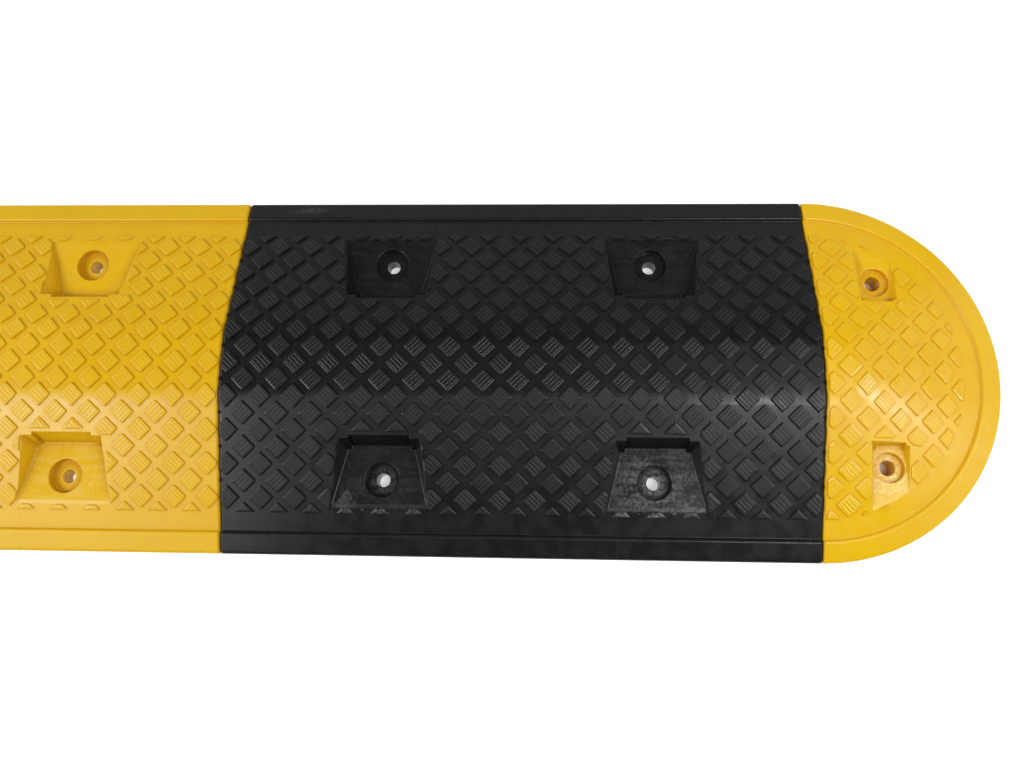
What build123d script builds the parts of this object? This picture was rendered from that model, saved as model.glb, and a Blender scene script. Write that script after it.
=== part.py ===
from build123d import *
import math
import os

# Overall sizes of the ramp, in millimetres. X runs along the ramp, Y across it, Z up from the road.
SECTION_LENGTH = 500.0
RAMP_WIDTH = 316.0
CREST_HEIGHT = 47.5
JOINT_GAP = 0.6

# Cross-section: a flat crest, two straight slopes and a raised lip along each toe.
CREST_HALF_WIDTH = 25.0
CREST_BEND_RADIUS = 60.0
TOE_HEIGHT = 15.0
TOE_RADIUS = 1.0
LIP_WIDTH = 17.2
LIP_STEP = 2.4
LIP_STEP_RUN = 2.0
LIP_EDGE_HEIGHT = 12.5
LIP_INNER_RADIUS = 2.4
LIP_OUTER_RADIUS = 3.0
END_RADIUS = 2.2

# Hollow underside: roof, outer walls, end walls and ribs.
ROOF_THICKNESS = 8.0
EDGE_WALL = 24.0
END_WALL = 10.0
RIB_THICKNESS = 6.0

# Fixing holes and their pockets on the slopes. Each pocket has a narrower bay at its back.
HOLE_SPACING_X = 227.0
HOLE_EDGE_DISTANCE = 63.0
BOSS_WALL = 8.0
COUNTERBORE_RIM_RADIUS = 0.7
POCKET_DRAFT = 25.0
POCKET_OVERRUN = 6.0
POCKET_FLOOR_RADIUS = 1.2
SILL_WIDTH = 3.0

# Pockets of a straight section, which sit a little further apart than their holes.
SECTION_HOLE_DIAMETER = 11.5
SECTION_COUNTERBORE_DIAMETER = 29.0
SECTION_COUNTERBORE_DEPTH = 6.5
SECTION_FLOOR_EDGE_DISTANCE = 41.0
SECTION_POCKET_SHIFT = 1.5
SECTION_POCKET_BACK = 25.5
SECTION_POCKET_HALF_WIDTH = 28.5
SECTION_POCKET_FLARE = 0.25
SECTION_BAY_DEPTH = 3.2
SECTION_BAY_HALF_WIDTH = 25.7
SECTION_BAY_DRAFT = 22.5

# Pockets of an end cap, narrower and with a steep back.
CAP_HOLE_DIAMETER = 13.0
CAP_COUNTERBORE_DIAMETER = 25.0
CAP_COUNTERBORE_DEPTH = 4.2
CAP_HOLE_SETBACK = 56.0
CAP_HOLE_SPACING_Y = 160.0
CAP_FLOOR_EDGE_DISTANCE = 38.0
CAP_POCKET_BACK = 14.0
CAP_POCKET_HALF_WIDTH = 12.0
CAP_POCKET_FLARE = 0.09
CAP_BAY_DEPTH = 4.5
CAP_BAY_HALF_WIDTH = 11.4
CAP_BAY_DRAFT = 8.0

# Drop-over joint: two tongues with pegs under each joint, and sockets in the next moulding.
TONGUE_LENGTH = 34.0
TONGUE_WIDTH = 34.0
TONGUE_HEIGHT = 8.0
TONGUE_CLEARANCE = 1.0
PEG_SETBACK = 20.0
PEG_DIAMETER = 16.0
PEG_HEIGHT = 10.0
PEG_LEAD = 1.5
PEG_CLEARANCE = 0.5
SOCKET_WALL = 5.0

# Values worked out from the sizes above.
HALF_WIDTH = RAMP_WIDTH / 2
LIP_INNER_Y = HALF_WIDTH - LIP_WIDTH
LIP_HEIGHT = TOE_HEIGHT + LIP_STEP
TOE_Y = LIP_INNER_Y - LIP_STEP_RUN
SLOPE = (CREST_HEIGHT - TOE_HEIGHT) / (TOE_Y - CREST_HALF_WIDTH)
HOLE_Y = HALF_WIDTH - HOLE_EDGE_DISTANCE
RIB_PITCH_Y = HOLE_Y / 2
TONGUE_Y = HOLE_Y - RIB_PITCH_Y / 2
BODY_LENGTH = SECTION_LENGTH - JOINT_GAP
SOCKET_DIAMETER = PEG_DIAMETER + 2 * (PEG_CLEARANCE + SOCKET_WALL)
SOCKET_FOOT = TONGUE_HEIGHT + TONGUE_CLEARANCE
SOCKET_DEPTH = PEG_HEIGHT + PEG_CLEARANCE

# Upright solids stand on their location.
STANDING = (Align.CENTER, Align.CENTER, Align.MIN)


def surface_height(distance):
    """Height of the slope at a distance from the ramp's centre line."""
    return CREST_HEIGHT - (distance - CREST_HALF_WIDTH) * SLOPE


INNER_EDGE_Y = HALF_WIDTH - EDGE_WALL
INNER_EDGE_HEIGHT = surface_height(INNER_EDGE_Y) - ROOF_THICKNESS
INNER_CREST_HEIGHT = CREST_HEIGHT - ROOF_THICKNESS

# One side of the cross-section, from the crest to the road, and the radius at each corner but the last.
HALF_OUTLINE = [
    (CREST_HALF_WIDTH, CREST_HEIGHT),
    (TOE_Y, TOE_HEIGHT),
    (LIP_INNER_Y, LIP_HEIGHT),
    (HALF_WIDTH, LIP_EDGE_HEIGHT),
    (HALF_WIDTH, 0),
]
HALF_RADII = [CREST_BEND_RADIUS, TOE_RADIUS, LIP_INNER_RADIUS, LIP_OUTER_RADIUS]


def mirrored(points):
    """The same points on the other side of the centre line, in reverse order."""
    return [(-distance, height) for distance, height in reversed(points)]


def section_outline(plane):
    """Full cross-section of a straight section."""
    points = mirrored(HALF_OUTLINE) + HALF_OUTLINE
    with BuildSketch(plane) as outline:
        with BuildLine():
            FilletPolyline(*points, radius=HALF_RADII[::-1] + HALF_RADII)
            Line(points[-1], points[0])
        make_face()
    return outline.sketch


def section_hollow(plane):
    """Cross-section of the hollow under a straight section's roof."""
    half = [(CREST_HALF_WIDTH, INNER_CREST_HEIGHT), (INNER_EDGE_Y, INNER_EDGE_HEIGHT), (INNER_EDGE_Y, 0)]
    with BuildSketch(plane) as hollow:
        with BuildLine():
            Polyline(*mirrored(half), *half, close=True)
        make_face()
    return hollow.sketch


def cap_outline(plane):
    """Half cross-section, turned about the joint's centre to make an end cap."""
    points = [(0, CREST_HEIGHT)] + HALF_OUTLINE
    with BuildSketch(plane) as outline:
        with BuildLine():
            FilletPolyline(*points, radius=HALF_RADII)
            Polyline(points[-1], (0, 0), points[0])
        make_face()
    return outline.sketch


def cap_hollow(plane):
    """Half cross-section of the hollow under an end cap."""
    with BuildSketch(plane) as hollow:
        with BuildLine():
            Polyline(
                (0, 0),
                (0, INNER_CREST_HEIGHT),
                (CREST_HALF_WIDTH, INNER_CREST_HEIGHT),
                (INNER_EDGE_Y, INNER_EDGE_HEIGHT),
                (INNER_EDGE_Y, 0),
                close=True,
            )
        make_face()
    return hollow.sketch


class Fixing:
    """A counterbored hole for a ground bolt, with a rounded rim."""

    def __init__(self, hole_diameter, counterbore_diameter, counterbore_depth):
        self.hole_radius = hole_diameter / 2
        self.counterbore_radius = counterbore_diameter / 2
        self.counterbore_depth = counterbore_depth

    def boss(self, hole, height):
        """The boss that carries the hole to the road."""
        with Locations((hole.X, hole.Y, 0)):
            Cylinder(self.counterbore_radius + BOSS_WALL, height, align=STANDING)

    def drill(self, part, holes, height):
        """Holes from a height down to the road."""
        with Locations(*[(hole.X, hole.Y, height) for hole in holes]):
            CounterBoreHole(self.hole_radius, self.counterbore_radius, self.counterbore_depth, height)
        rims = part.edges(Select.LAST).filter_by(GeomType.CIRCLE).group_by(Axis.Z)[-1]
        fillet(rims, COUNTERBORE_RIM_RADIUS)


class Pocket:
    """A fixing pocket: a level floor that widens towards the toe, with a bay at its back."""

    def __init__(
        self, fixing, floor_edge_distance, back, half_width, flare, bay_depth, bay_half_width, bay_draft
    ):
        self.fixing = fixing
        self.floor_edge = HALF_WIDTH - floor_edge_distance
        self.floor_height = surface_height(self.floor_edge)
        self.back = back
        self.half_width = half_width
        self.flare = flare
        self.bay_back = back + bay_depth
        self.bay_half_width = bay_half_width
        self.bay_draft = bay_draft

    def outline(self, place, height, back, grow=0.0):
        """Level outline around a pocket's place, widened by grow; its back faces the crest."""
        side = 1 if place.Y > 0 else -1
        front = self.floor_edge + POCKET_OVERRUN - abs(place.Y)
        wide = self.half_width + grow
        near = -back - grow
        half = [(wide, near), (wide + self.flare * (front - near), front)]
        with BuildSketch(Plane((place.X, place.Y, height), x_dir=(side, 0, 0), z_dir=(0, 0, 1))) as outline:
            with BuildLine():
                Polyline(*mirrored(half), *half, close=True)
            make_face()
        return outline.sketch

    def bay(self, place):
        """The space of the bay, from the middle of the pocket to its leaning back wall."""
        side = 1 if place.Y > 0 else -1
        top = self.floor_height + CREST_HEIGHT
        top_back = self.bay_back + CREST_HEIGHT * math.tan(math.radians(self.bay_draft))
        corners = [(0, self.floor_height), (-self.bay_back, self.floor_height), (-top_back, top), (0, top)]
        with BuildPart() as bay:
            with BuildSketch(Plane.YZ.offset(place.X)):
                with BuildLine():
                    Polyline(*[(place.Y + side * outward, z) for outward, z in corners], close=True)
                make_face()
            extrude(amount=self.bay_half_width, both=True)
            fillet(bay.faces().sort_by(Axis.Z)[0].edges(), POCKET_FLOOR_RADIUS)
        return bay.part

    def cutter(self, place):
        """The space of the pocket above its floor, with leaning walls and a rounded floor edge."""
        bay = self.bay(place)
        with BuildPart() as space:
            floor = self.outline(place, self.floor_height, self.back)
            extrude(floor, amount=CREST_HEIGHT, taper=-POCKET_DRAFT)
            fillet(space.faces().sort_by(Axis.Z)[0].edges(), POCKET_FLOOR_RADIUS)
            add(bay)
        return space.part

    def sill_profile(self, plane):
        """Section of the sliver cut off where the level floor runs out on the slope."""
        inner = self.floor_edge - SILL_WIDTH / 2
        outer = self.floor_edge + SILL_WIDTH / 2
        corners = [
            (inner, self.floor_height),
            (outer, surface_height(outer)),
            (self.floor_edge, CREST_HEIGHT),
        ]
        with BuildSketch(plane) as profile:
            with BuildLine():
                Polyline(*corners, close=True)
            make_face()
        return profile.sketch

    def sill(self, place, edge):
        """The part of a softened edge that lies within one pocket."""
        with BuildPart() as sill:
            extrude(self.outline(place, 0, self.back), amount=CREST_HEIGHT)
            add(edge, mode=Mode.INTERSECT)
        return sill.part

    def backing(self, place, hole):
        """The material left under and around the pocket, and the boss that carries the hole to the road."""
        height = self.floor_height - ROOF_THICKNESS
        with BuildPart() as block:
            foot = self.outline(place, height, self.bay_back, ROOF_THICKNESS)
            extrude(foot, amount=CREST_HEIGHT, taper=-POCKET_DRAFT)
            self.fixing.boss(hole, self.floor_height)
        return block.part


SECTION_POCKET = Pocket(
    Fixing(SECTION_HOLE_DIAMETER, SECTION_COUNTERBORE_DIAMETER, SECTION_COUNTERBORE_DEPTH),
    SECTION_FLOOR_EDGE_DISTANCE,
    SECTION_POCKET_BACK,
    SECTION_POCKET_HALF_WIDTH,
    SECTION_POCKET_FLARE,
    SECTION_BAY_DEPTH,
    SECTION_BAY_HALF_WIDTH,
    SECTION_BAY_DRAFT,
)
CAP_POCKET = Pocket(
    Fixing(CAP_HOLE_DIAMETER, CAP_COUNTERBORE_DIAMETER, CAP_COUNTERBORE_DEPTH),
    CAP_FLOOR_EDGE_DISTANCE,
    CAP_POCKET_BACK,
    CAP_POCKET_HALF_WIDTH,
    CAP_POCKET_FLARE,
    CAP_BAY_DEPTH,
    CAP_BAY_HALF_WIDTH,
    CAP_BAY_DRAFT,
)


def round_end_edges(joint_faces):
    """Round the edges around each joint face, apart from the one on the road."""
    edges = joint_faces.edges().filter_by(lambda edge: edge.center().Z > 0)
    fillet(edges, END_RADIUS)


def remove_ribs(center_x, length, cross_x):
    """Take the ribs out of a hollow: five along the ramp, in line through all mouldings, and some across."""
    with Locations((center_x, 0, 0)):
        with GridLocations(0, RIB_PITCH_Y, 1, 5):
            Box(length, RIB_THICKNESS, CREST_HEIGHT, align=STANDING, mode=Mode.SUBTRACT)
    with Locations(*[(x, 0, 0) for x in cross_x]):
        Box(RIB_THICKNESS, RAMP_WIDTH, CREST_HEIGHT, align=STANDING, mode=Mode.SUBTRACT)


def both_sides(x, z):
    """The two places of a tongue, peg or socket, one on each side of the centre line."""
    return [(x, TONGUE_Y, z), (x, -TONGUE_Y, z)]


def remove_socket_bosses(joint_x):
    """Take the two socket bosses behind a joint out of a hollow."""
    with Locations(*both_sides(joint_x + PEG_SETBACK, SOCKET_FOOT)):
        Cylinder(SOCKET_DIAMETER / 2, CREST_HEIGHT, align=STANDING, mode=Mode.SUBTRACT)


def add_tongues(part, joint_x):
    """Two tongues on the road that reach under the next moulding, each with an upright peg."""
    root = JOINT_GAP / 2 + END_WALL
    with Locations(*both_sides(joint_x - root, 0)):
        Box(root + TONGUE_LENGTH, TONGUE_WIDTH, TONGUE_HEIGHT, align=(Align.MIN, Align.CENTER, Align.MIN))
    with Locations(*both_sides(joint_x + PEG_SETBACK, TONGUE_HEIGHT)):
        Cylinder(PEG_DIAMETER / 2, PEG_HEIGHT, align=STANDING)
    peg_tops = part.edges(Select.LAST).filter_by(GeomType.CIRCLE).group_by(Axis.Z)[-1]
    chamfer(peg_tops, PEG_LEAD)


def cut_sockets(joint_x):
    """Notches in the end wall over the tongues, and bores over their pegs."""
    start = joint_x - JOINT_GAP
    with Locations(*both_sides(start, 0)):
        Box(
            joint_x - start + TONGUE_LENGTH + TONGUE_CLEARANCE,
            TONGUE_WIDTH + 2 * TONGUE_CLEARANCE,
            SOCKET_FOOT,
            align=(Align.MIN, Align.CENTER, Align.MIN),
            mode=Mode.SUBTRACT,
        )
    with Locations(*both_sides(joint_x + PEG_SETBACK, SOCKET_FOOT)):
        Cylinder(PEG_DIAMETER / 2 + PEG_CLEARANCE, SOCKET_DEPTH, align=STANDING, mode=Mode.SUBTRACT)


def four_places(center_x, reach_x):
    """Places of a section's four holes or pockets, some way to each side of its middle."""
    return [Vector(center_x + x * reach_x, y * HOLE_Y, 0) for x in (-1, 1) for y in (-1, 1)]


def straight_section(center_x):
    """A straight section: sockets at its -X end, tongues at its +X end, four fixing pockets."""
    holes = four_places(center_x, HOLE_SPACING_X / 2)
    places = four_places(center_x, HOLE_SPACING_X / 2 + SECTION_POCKET_SHIFT)
    first_joint = center_x - SECTION_LENGTH / 2
    last_joint = center_x + SECTION_LENGTH / 2
    start = Plane.YZ.offset(center_x - BODY_LENGTH / 2)
    outline = section_outline(start)
    hollow_outline = section_hollow(start.offset(END_WALL))
    hollow_length = BODY_LENGTH - 2 * END_WALL
    cross_ribs = [center_x + i * HOLE_SPACING_X / 2 for i in (-1, 0, 1)]
    backings = [SECTION_POCKET.backing(place, hole) for place, hole in zip(places, holes)]
    cutters = [SECTION_POCKET.cutter(place) for place in places]

    with BuildPart() as soft_edges:
        extrude(SECTION_POCKET.sill_profile(start), amount=BODY_LENGTH)
        mirror(about=Plane.XZ)
    sills = [SECTION_POCKET.sill(place, soft_edges.part) for place in places]

    with BuildPart() as hollow:
        extrude(hollow_outline, amount=hollow_length)
        remove_ribs(center_x, hollow_length, cross_ribs)
        add(backings, mode=Mode.SUBTRACT)
        remove_socket_bosses(first_joint)

    with BuildPart() as section:
        extrude(outline, amount=BODY_LENGTH)
        round_end_edges(section.faces().filter_by(Axis.X))
        add(cutters + sills, mode=Mode.SUBTRACT)
        add(hollow.part, mode=Mode.SUBTRACT)
        SECTION_POCKET.fixing.drill(section, holes, SECTION_POCKET.floor_height)
        add_tongues(section, last_joint)
        cut_sockets(first_joint)
    return section.part


def end_cap(joint_x, side):
    """A half-round end cap: the left one, side -1, has tongues and the right one, side 1, sockets."""
    face_x = joint_x + side * JOINT_GAP / 2
    hole_x = joint_x + side * CAP_HOLE_SETBACK
    holes = [Vector(hole_x, y * CAP_HOLE_SPACING_Y / 2, 0) for y in (-1, 1)]
    turning_axis = Axis((face_x, 0, 0), (0, 0, 1))
    start = Plane((face_x, 0, 0), x_dir=(0, -side, 0), z_dir=(-side, 0, 0))
    outline = cap_outline(start)
    hollow_outline = cap_hollow(start)
    backings = [CAP_POCKET.backing(hole, hole) for hole in holes]
    cutters = [CAP_POCKET.cutter(hole) for hole in holes]

    with BuildPart() as soft_edge:
        revolve(CAP_POCKET.sill_profile(start), axis=turning_axis, revolution_arc=180)
    sills = [CAP_POCKET.sill(hole, soft_edge.part) for hole in holes]

    with BuildPart() as hollow:
        revolve(hollow_outline, axis=turning_axis, revolution_arc=180)
        with Locations((face_x, 0, 0)):
            Box(2 * END_WALL, RAMP_WIDTH, CREST_HEIGHT, align=STANDING, mode=Mode.SUBTRACT)
        remove_ribs(face_x, RAMP_WIDTH, [hole_x])
        add(backings, mode=Mode.SUBTRACT)
        if side > 0:
            remove_socket_bosses(joint_x)

    with BuildPart() as cap:
        revolve(outline, axis=turning_axis, revolution_arc=180)
        round_end_edges(cap.faces().filter_by(Axis.X))
        add(cutters + sills, mode=Mode.SUBTRACT)
        add(hollow.part, mode=Mode.SUBTRACT)
        CAP_POCKET.fixing.drill(cap, holes, CAP_POCKET.floor_height)
        if side > 0:
            cut_sockets(joint_x)
        else:
            add_tongues(cap, joint_x)
    return cap.part


def write_piece(piece, name):
    """Label a moulding and write it to its own file."""
    piece.label = name
    export_step(piece, f"parts/{name}.step")


os.makedirs("parts", exist_ok=True)

outer_joint = 1.5 * SECTION_LENGTH
write_piece(end_cap(-outer_joint, -1), "end_cap_left")
write_piece(straight_section(-SECTION_LENGTH), "black_section_left")
write_piece(straight_section(0), "yellow_section_middle")
write_piece(straight_section(SECTION_LENGTH), "black_section_right")
write_piece(end_cap(outer_joint, 1), "end_cap_right")
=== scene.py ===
"""Looks of a modular speed ramp: PVC mouldings with a studded tread, on a pale studio floor.

Lengths are in metres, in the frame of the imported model: X runs along the ramp, Y across it and Z up from
the road.
"""

import logging
import math
from abc import ABC, abstractmethod
from dataclasses import dataclass, fields, replace
from enum import Enum
from typing import Any

import bpy
import numpy as np
from mathutils import Matrix, Vector


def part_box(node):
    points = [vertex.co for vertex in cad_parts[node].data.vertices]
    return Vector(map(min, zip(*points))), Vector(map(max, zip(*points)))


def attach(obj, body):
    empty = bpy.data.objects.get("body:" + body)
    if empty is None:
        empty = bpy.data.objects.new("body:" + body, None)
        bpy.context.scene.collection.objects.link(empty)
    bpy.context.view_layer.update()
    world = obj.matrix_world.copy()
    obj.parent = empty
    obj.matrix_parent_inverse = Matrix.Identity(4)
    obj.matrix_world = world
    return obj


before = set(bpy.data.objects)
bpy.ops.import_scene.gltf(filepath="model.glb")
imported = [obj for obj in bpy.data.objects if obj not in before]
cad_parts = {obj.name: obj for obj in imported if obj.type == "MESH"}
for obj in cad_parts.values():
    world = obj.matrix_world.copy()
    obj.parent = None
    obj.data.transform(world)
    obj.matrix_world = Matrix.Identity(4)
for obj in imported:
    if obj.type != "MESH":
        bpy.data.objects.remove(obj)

LOG = logging.getLogger("speed_ramp")
MM = 0.001
# Lines whose unit normals have a smaller cross product count as parallel.
PARALLEL = 1e-9
# How far outside a line a crossing may lie, and how close two corners count as one.
CROSSING_TOLERANCE = 0.002 * MM
SAME_CORNER = 0.05 * MM
# Mesh attribute that says how much painted highlight each point of the tread takes; the rib backs take it.
RIB_HIGHLIGHT = "rib_highlight"
# Colour sockets of a Mix node: its two inputs and its output.
MIX_UNDER, MIX_OVER, MIX_COLOUR = 6, 7, 2

Tree = bpy.types.NodeTree
Socket = bpy.types.NodeSocket


def mm(*lengths: float) -> tuple[float, ...]:
    """Lengths in metres from millimetres."""
    return tuple(length * MM for length in lengths)


def linear(hex_colour: str) -> tuple[float, float, float, float]:
    """Turn an sRGB hex colour into linear light by the standard sRGB curve.

    Args:
        hex_colour: Six hex digits after a hash sign.

    Returns:
        Red, green, blue and an alpha of one.
    """
    channels = np.array([int(hex_colour[i:i + 2], 16) for i in (1, 3, 5)]) / 255
    light = np.where(channels <= 0.04045, channels / 12.92, ((channels + 0.055) / 1.055) ** 2.4)
    return (*light.tolist(), 1.0)


def add_node(
    tree: Tree, kind: str, inputs: dict[Any, Any] | None = None, output: int | str = 0, **settings: Any
) -> Socket | None:
    """Add a shader node with its settings, values and links.

    Args:
        tree: The node tree that takes the node.
        kind: Blender's name for the kind of node, after the words it shares with all shader nodes.
        inputs: For each input, by name or number, the output that feeds it or its own value.
        output: Which of its outputs is wanted, by name or number.
        settings: The node's own settings.

    Returns:
        That output, or None from a node that ends its tree.
    """
    node = tree.nodes.new(f"ShaderNode{kind}")
    for name, value in settings.items():
        setattr(node, name, value)
    for socket, value in (inputs or {}).items():
        if isinstance(value, Socket):
            tree.links.new(value, node.inputs[socket])
        else:
            node.inputs[socket].default_value = value
    return node.outputs[output] if node.outputs else None


class Side(Enum):
    """Which end of the ramp an end cap closes."""

    LEFT = -1
    RIGHT = 1


class Piece(Enum):
    """Which piece of a moulding a material is for."""

    SKIN = "skin"
    TREAD = "tread"


class PatchShape(Enum):
    """Outline of a pale patch, seen from above."""

    ROUND = "LENGTH"
    DIAMOND = "DOT_PRODUCT"


@dataclass(frozen=True)
class Patch:
    """A pale patch of chalk, and at some places of painted light: its place, its reach along each axis, how
    pale it is, its outline and fade.
    """

    place: tuple[float, float, float]
    reach: tuple[float, float, float]
    strength: float
    shape: PatchShape = PatchShape.ROUND
    fade: float = 1.0


@dataclass(frozen=True)
class MouldedPvc:
    """Recycled PVC, injection moulded against a spark-eroded tool.

    It gives the eye a satin skin with a broad, slightly patchy highlight, soft edges, faint cloudy flow
    marks, painted shade in the channels and corners, chalky dust on pocket floors and in patches where
    handling has dulled the skin, painted light on a few of those patches, and rib backs painted paler as a
    painted highlight.
    """

    name: str
    slot: str
    colour: str
    flow_colour: str
    # Pale colour of chalk; some patches and the rib backs also use it for painted light.
    chalk_and_light_colour: str
    # Painted shade: the colour that channels and corners are darkened towards.
    painted_shade_colour: str
    roughness: float
    dull_roughness: float
    tread_wear: float
    specular: float
    # How much paler the rib backs are painted: a painted highlight along the ribs.
    rib_highlight_share: float
    edge_radius: float
    floor_chalk: float
    skin_chalk: float
    skin_patches: tuple[Patch, ...] = ()
    tread_patches: tuple[Patch, ...] = ()
    ior: float = 1.53
    cloud_detail: float = 3.0
    flow_size: float = 70 * MM
    flow_limits: tuple[float, float] = (0.35, 0.7)
    dull_size: float = 14 * MM
    dull_limits: tuple[float, float] = (0.35, 0.65)
    rub_length: float = 26 * MM
    rub_width: float = 5 * MM
    rub_angle: float = math.radians(28)
    rub_detail: float = 4.0
    chalk_grit: float = 2.2 * MM
    mark_limits: tuple[float, float] = (0.14, 0.40)
    # The tool's real grit is about 0.2 mm; it is drawn coarser so that it shows at the camera's distance.
    grain_size: float = 1.1 * MM
    grain_depth: float = 0.03 * MM
    grain_detail: float = 2.0
    floor_below: float = 30 * MM
    floor_level: tuple[float, float] = (0.985, 0.998)
    edge_samples: int = 4
    # Reach, samples and full share of the painted shade in channels and corners.
    crevice_reach: float = 8.5 * MM
    crevice_samples: int = 4
    crevice_full: float = 1.0

    def material(self, piece: Piece) -> bpy.types.Material:
        """Build the node material of this plastic.

        Args:
            piece: Which piece it is for; only the moulding has soft edges, and only the tread ribs painted
                paler as a highlight.

        Returns:
            The material, which reads Object coordinates and, on the tread, where its mesh takes the painted
            highlight.
        """
        material = bpy.data.materials.new(f"{self.name}_{piece.value}")
        material.use_nodes = True
        tree = material.node_tree
        tree.nodes.clear()
        place = add_node(tree, "TexCoord", output="Object")
        on_tread = piece is Piece.TREAD
        chalk_and_light = self.chalk_and_light_mask(tree, place, self.tread_patches if on_tread else self.skin_patches)
        if on_tread:
            # Rib backs are painted paler: a painted highlight along the ribs.
            rib_highlight = add_node(tree, "Attribute", output="Fac", attribute_name=RIB_HIGHLIGHT)
            paler = {0: rib_highlight, 1: self.rib_highlight_share, 2: chalk_and_light}
            chalk_and_light = add_node(tree, "Math", paler, operation="MULTIPLY_ADD", use_clamp=True)
        soft = {} if on_tread else {"Normal": self.soft_edges(tree)}
        colour = linear(self.colour)
        for share, over in (
            (self.cloud(tree, place, self.flow_size, self.flow_limits), self.flow_colour),
            # Painted shade in the channels and corners.
            (self.crevice_shade(tree), self.painted_shade_colour),
            (chalk_and_light, self.chalk_and_light_colour),
        ):
            blend = {0: share, MIX_UNDER: colour, MIX_OVER: linear(over)}
            colour = add_node(tree, "Mix", blend, MIX_COLOUR, data_type="RGBA")
        clouds = self.cloud(tree, place, self.dull_size, self.dull_limits)
        dull = add_node(tree, "Math", {0: clouds, 1: chalk_and_light}, operation="MAXIMUM")
        wear = self.tread_wear if on_tread else 0.0
        gloss = {"Value": dull, "To Min": self.roughness + wear, "To Max": self.dull_roughness + wear}
        shader = add_node(
            tree,
            "BsdfPrincipled",
            {
                "Base Color": colour,
                "Roughness": add_node(tree, "MapRange", gloss),
                "Normal": self.grained_normal(tree, place, soft),
                "IOR": self.ior,
                "Specular IOR Level": self.specular,
            },
        )
        add_node(tree, "OutputMaterial", {"Surface": shader})
        return material

    def cloud(self, tree: Tree, place: Socket, size: float, limits: tuple[float, float]) -> Socket:
        """Add soft cloudy noise.

        Args:
            tree: The material's node tree.
            place: The Object coordinates.
            size: Length of one cloud.
            limits: The noise that gives 0 and the noise that gives 1.

        Returns:
            The cloud, from 0 to 1.
        """
        low, high = limits
        scale = {"Vector": place, "Scale": 1 / size, "Detail": self.cloud_detail}
        noise = {"Value": add_node(tree, "TexNoise", scale), "From Min": low, "From Max": high}
        return add_node(tree, "MapRange", noise, interpolation_type="SMOOTHSTEP")

    def crevice_shade(self, tree: Tree) -> Socket:
        """Add the nodes that paint shade into the channels between studs and the corners of pockets.

        Args:
            tree: The material's node tree.

        Returns:
            The share of painted shade, which grows with the part of the view upwards that nearby surfaces
            block.
        """
        reach = {"Distance": self.crevice_reach}
        open_share = add_node(tree, "AmbientOcclusion", reach, "AO", samples=self.crevice_samples)
        limits = {"From Min": 1.0 - self.crevice_full, "From Max": 1.0, "To Min": 1.0, "To Max": 0.0}
        return add_node(tree, "MapRange", {"Value": open_share, **limits})

    def soft_edges(self, tree: Tree) -> Socket:
        """Add the small radius that the tool leaves on every edge."""
        return add_node(tree, "Bevel", {"Radius": self.edge_radius}, samples=self.edge_samples)

    def grained_normal(self, tree: Tree, place: Socket, soft: dict[str, Socket]) -> Socket:
        """Add the grain of the tool.

        Args:
            tree: The material's node tree.
            place: The Object coordinates.
            soft: The normal under the grain, where edges are softened.

        Returns:
            The shading normal.
        """
        scale = {"Vector": place, "Scale": 1 / self.grain_size, "Detail": self.grain_detail}
        grain = {"Height": add_node(tree, "TexNoise", scale), "Distance": self.grain_depth}
        return add_node(tree, "Bump", {**grain, "Strength": 1.0, **soft})

    def chalk_and_light_mask(self, tree: Tree, place: Socket, patches: tuple[Patch, ...]) -> Socket:
        """Add the nodes that say how pale each point is painted: chalk, and painted light at some patches.

        The mask is the sum of dusty level pocket floors, a thin bloom over the whole skin and the patches,
        all of it broken up by long rub marks and fine grit.

        Args:
            tree: The material's node tree.
            place: The Object coordinates.
            patches: The patches of this piece.

        Returns:
            The mask, from 0 for clean plastic to 1 for the full pale colour.
        """
        turned = {
            "Vector": place,
            "Scale": (1 / self.rub_length, 1 / self.rub_width, 1 / self.rub_width),
            "Rotation": (0.0, 0.0, self.rub_angle),
        }
        rub = {"Vector": add_node(tree, "Mapping", turned), "Scale": 1.0, "Detail": self.rub_detail}
        grit = {"Vector": place, "Scale": 1 / self.chalk_grit, "Detail": self.cloud_detail}
        both = {0: add_node(tree, "TexNoise", rub), 1: add_node(tree, "TexNoise", grit)}
        broken = add_node(tree, "Math", both, operation="MULTIPLY")
        low, high = self.mark_limits
        limits = {"Value": broken, "From Min": low, "From Max": high}
        marks = add_node(tree, "MapRange", limits, interpolation_type="SMOOTHSTEP")
        dust = {0: self.level_floor(tree, place), 1: self.floor_chalk, 2: self.skin_chalk}
        total = add_node(tree, "Math", dust, operation="MULTIPLY_ADD")
        for patch in patches:
            mask = self.patch_mask(tree, place, patch)
            total = add_node(tree, "Math", {0: total, 1: mask}, operation="ADD")
        return add_node(tree, "Math", {0: total, 1: marks}, operation="MULTIPLY", use_clamp=True)

    def patch_mask(self, tree: Tree, place: Socket, patch: Patch) -> Socket:
        """Add the nodes of one pale patch.

        The offset from its place is divided by its reach. A round patch takes the length of that, and a
        diamond the sum of its absolute parts; the patch ends where this comes to one.

        Args:
            tree: The material's node tree.
            place: The Object coordinates.
            patch: The patch.

        Returns:
            Its strength inside, fading to zero at its outline.
        """
        offset = add_node(tree, "VectorMath", {0: place, 1: patch.place}, operation="SUBTRACT")
        share = add_node(tree, "VectorMath", {0: offset, 1: patch.reach}, operation="DIVIDE")
        share = add_node(tree, "VectorMath", {0: share}, operation="ABSOLUTE")
        parts = {0: share, 1: (1.0, 1.0, 1.0)}
        away = add_node(tree, "VectorMath", parts, "Value", operation=patch.shape.value)
        limits = {"From Min": 1.0, "From Max": 1.0 - patch.fade, "To Max": patch.strength}
        return add_node(tree, "MapRange", {"Value": away, **limits}, interpolation_type="SMOOTHSTEP")

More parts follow.
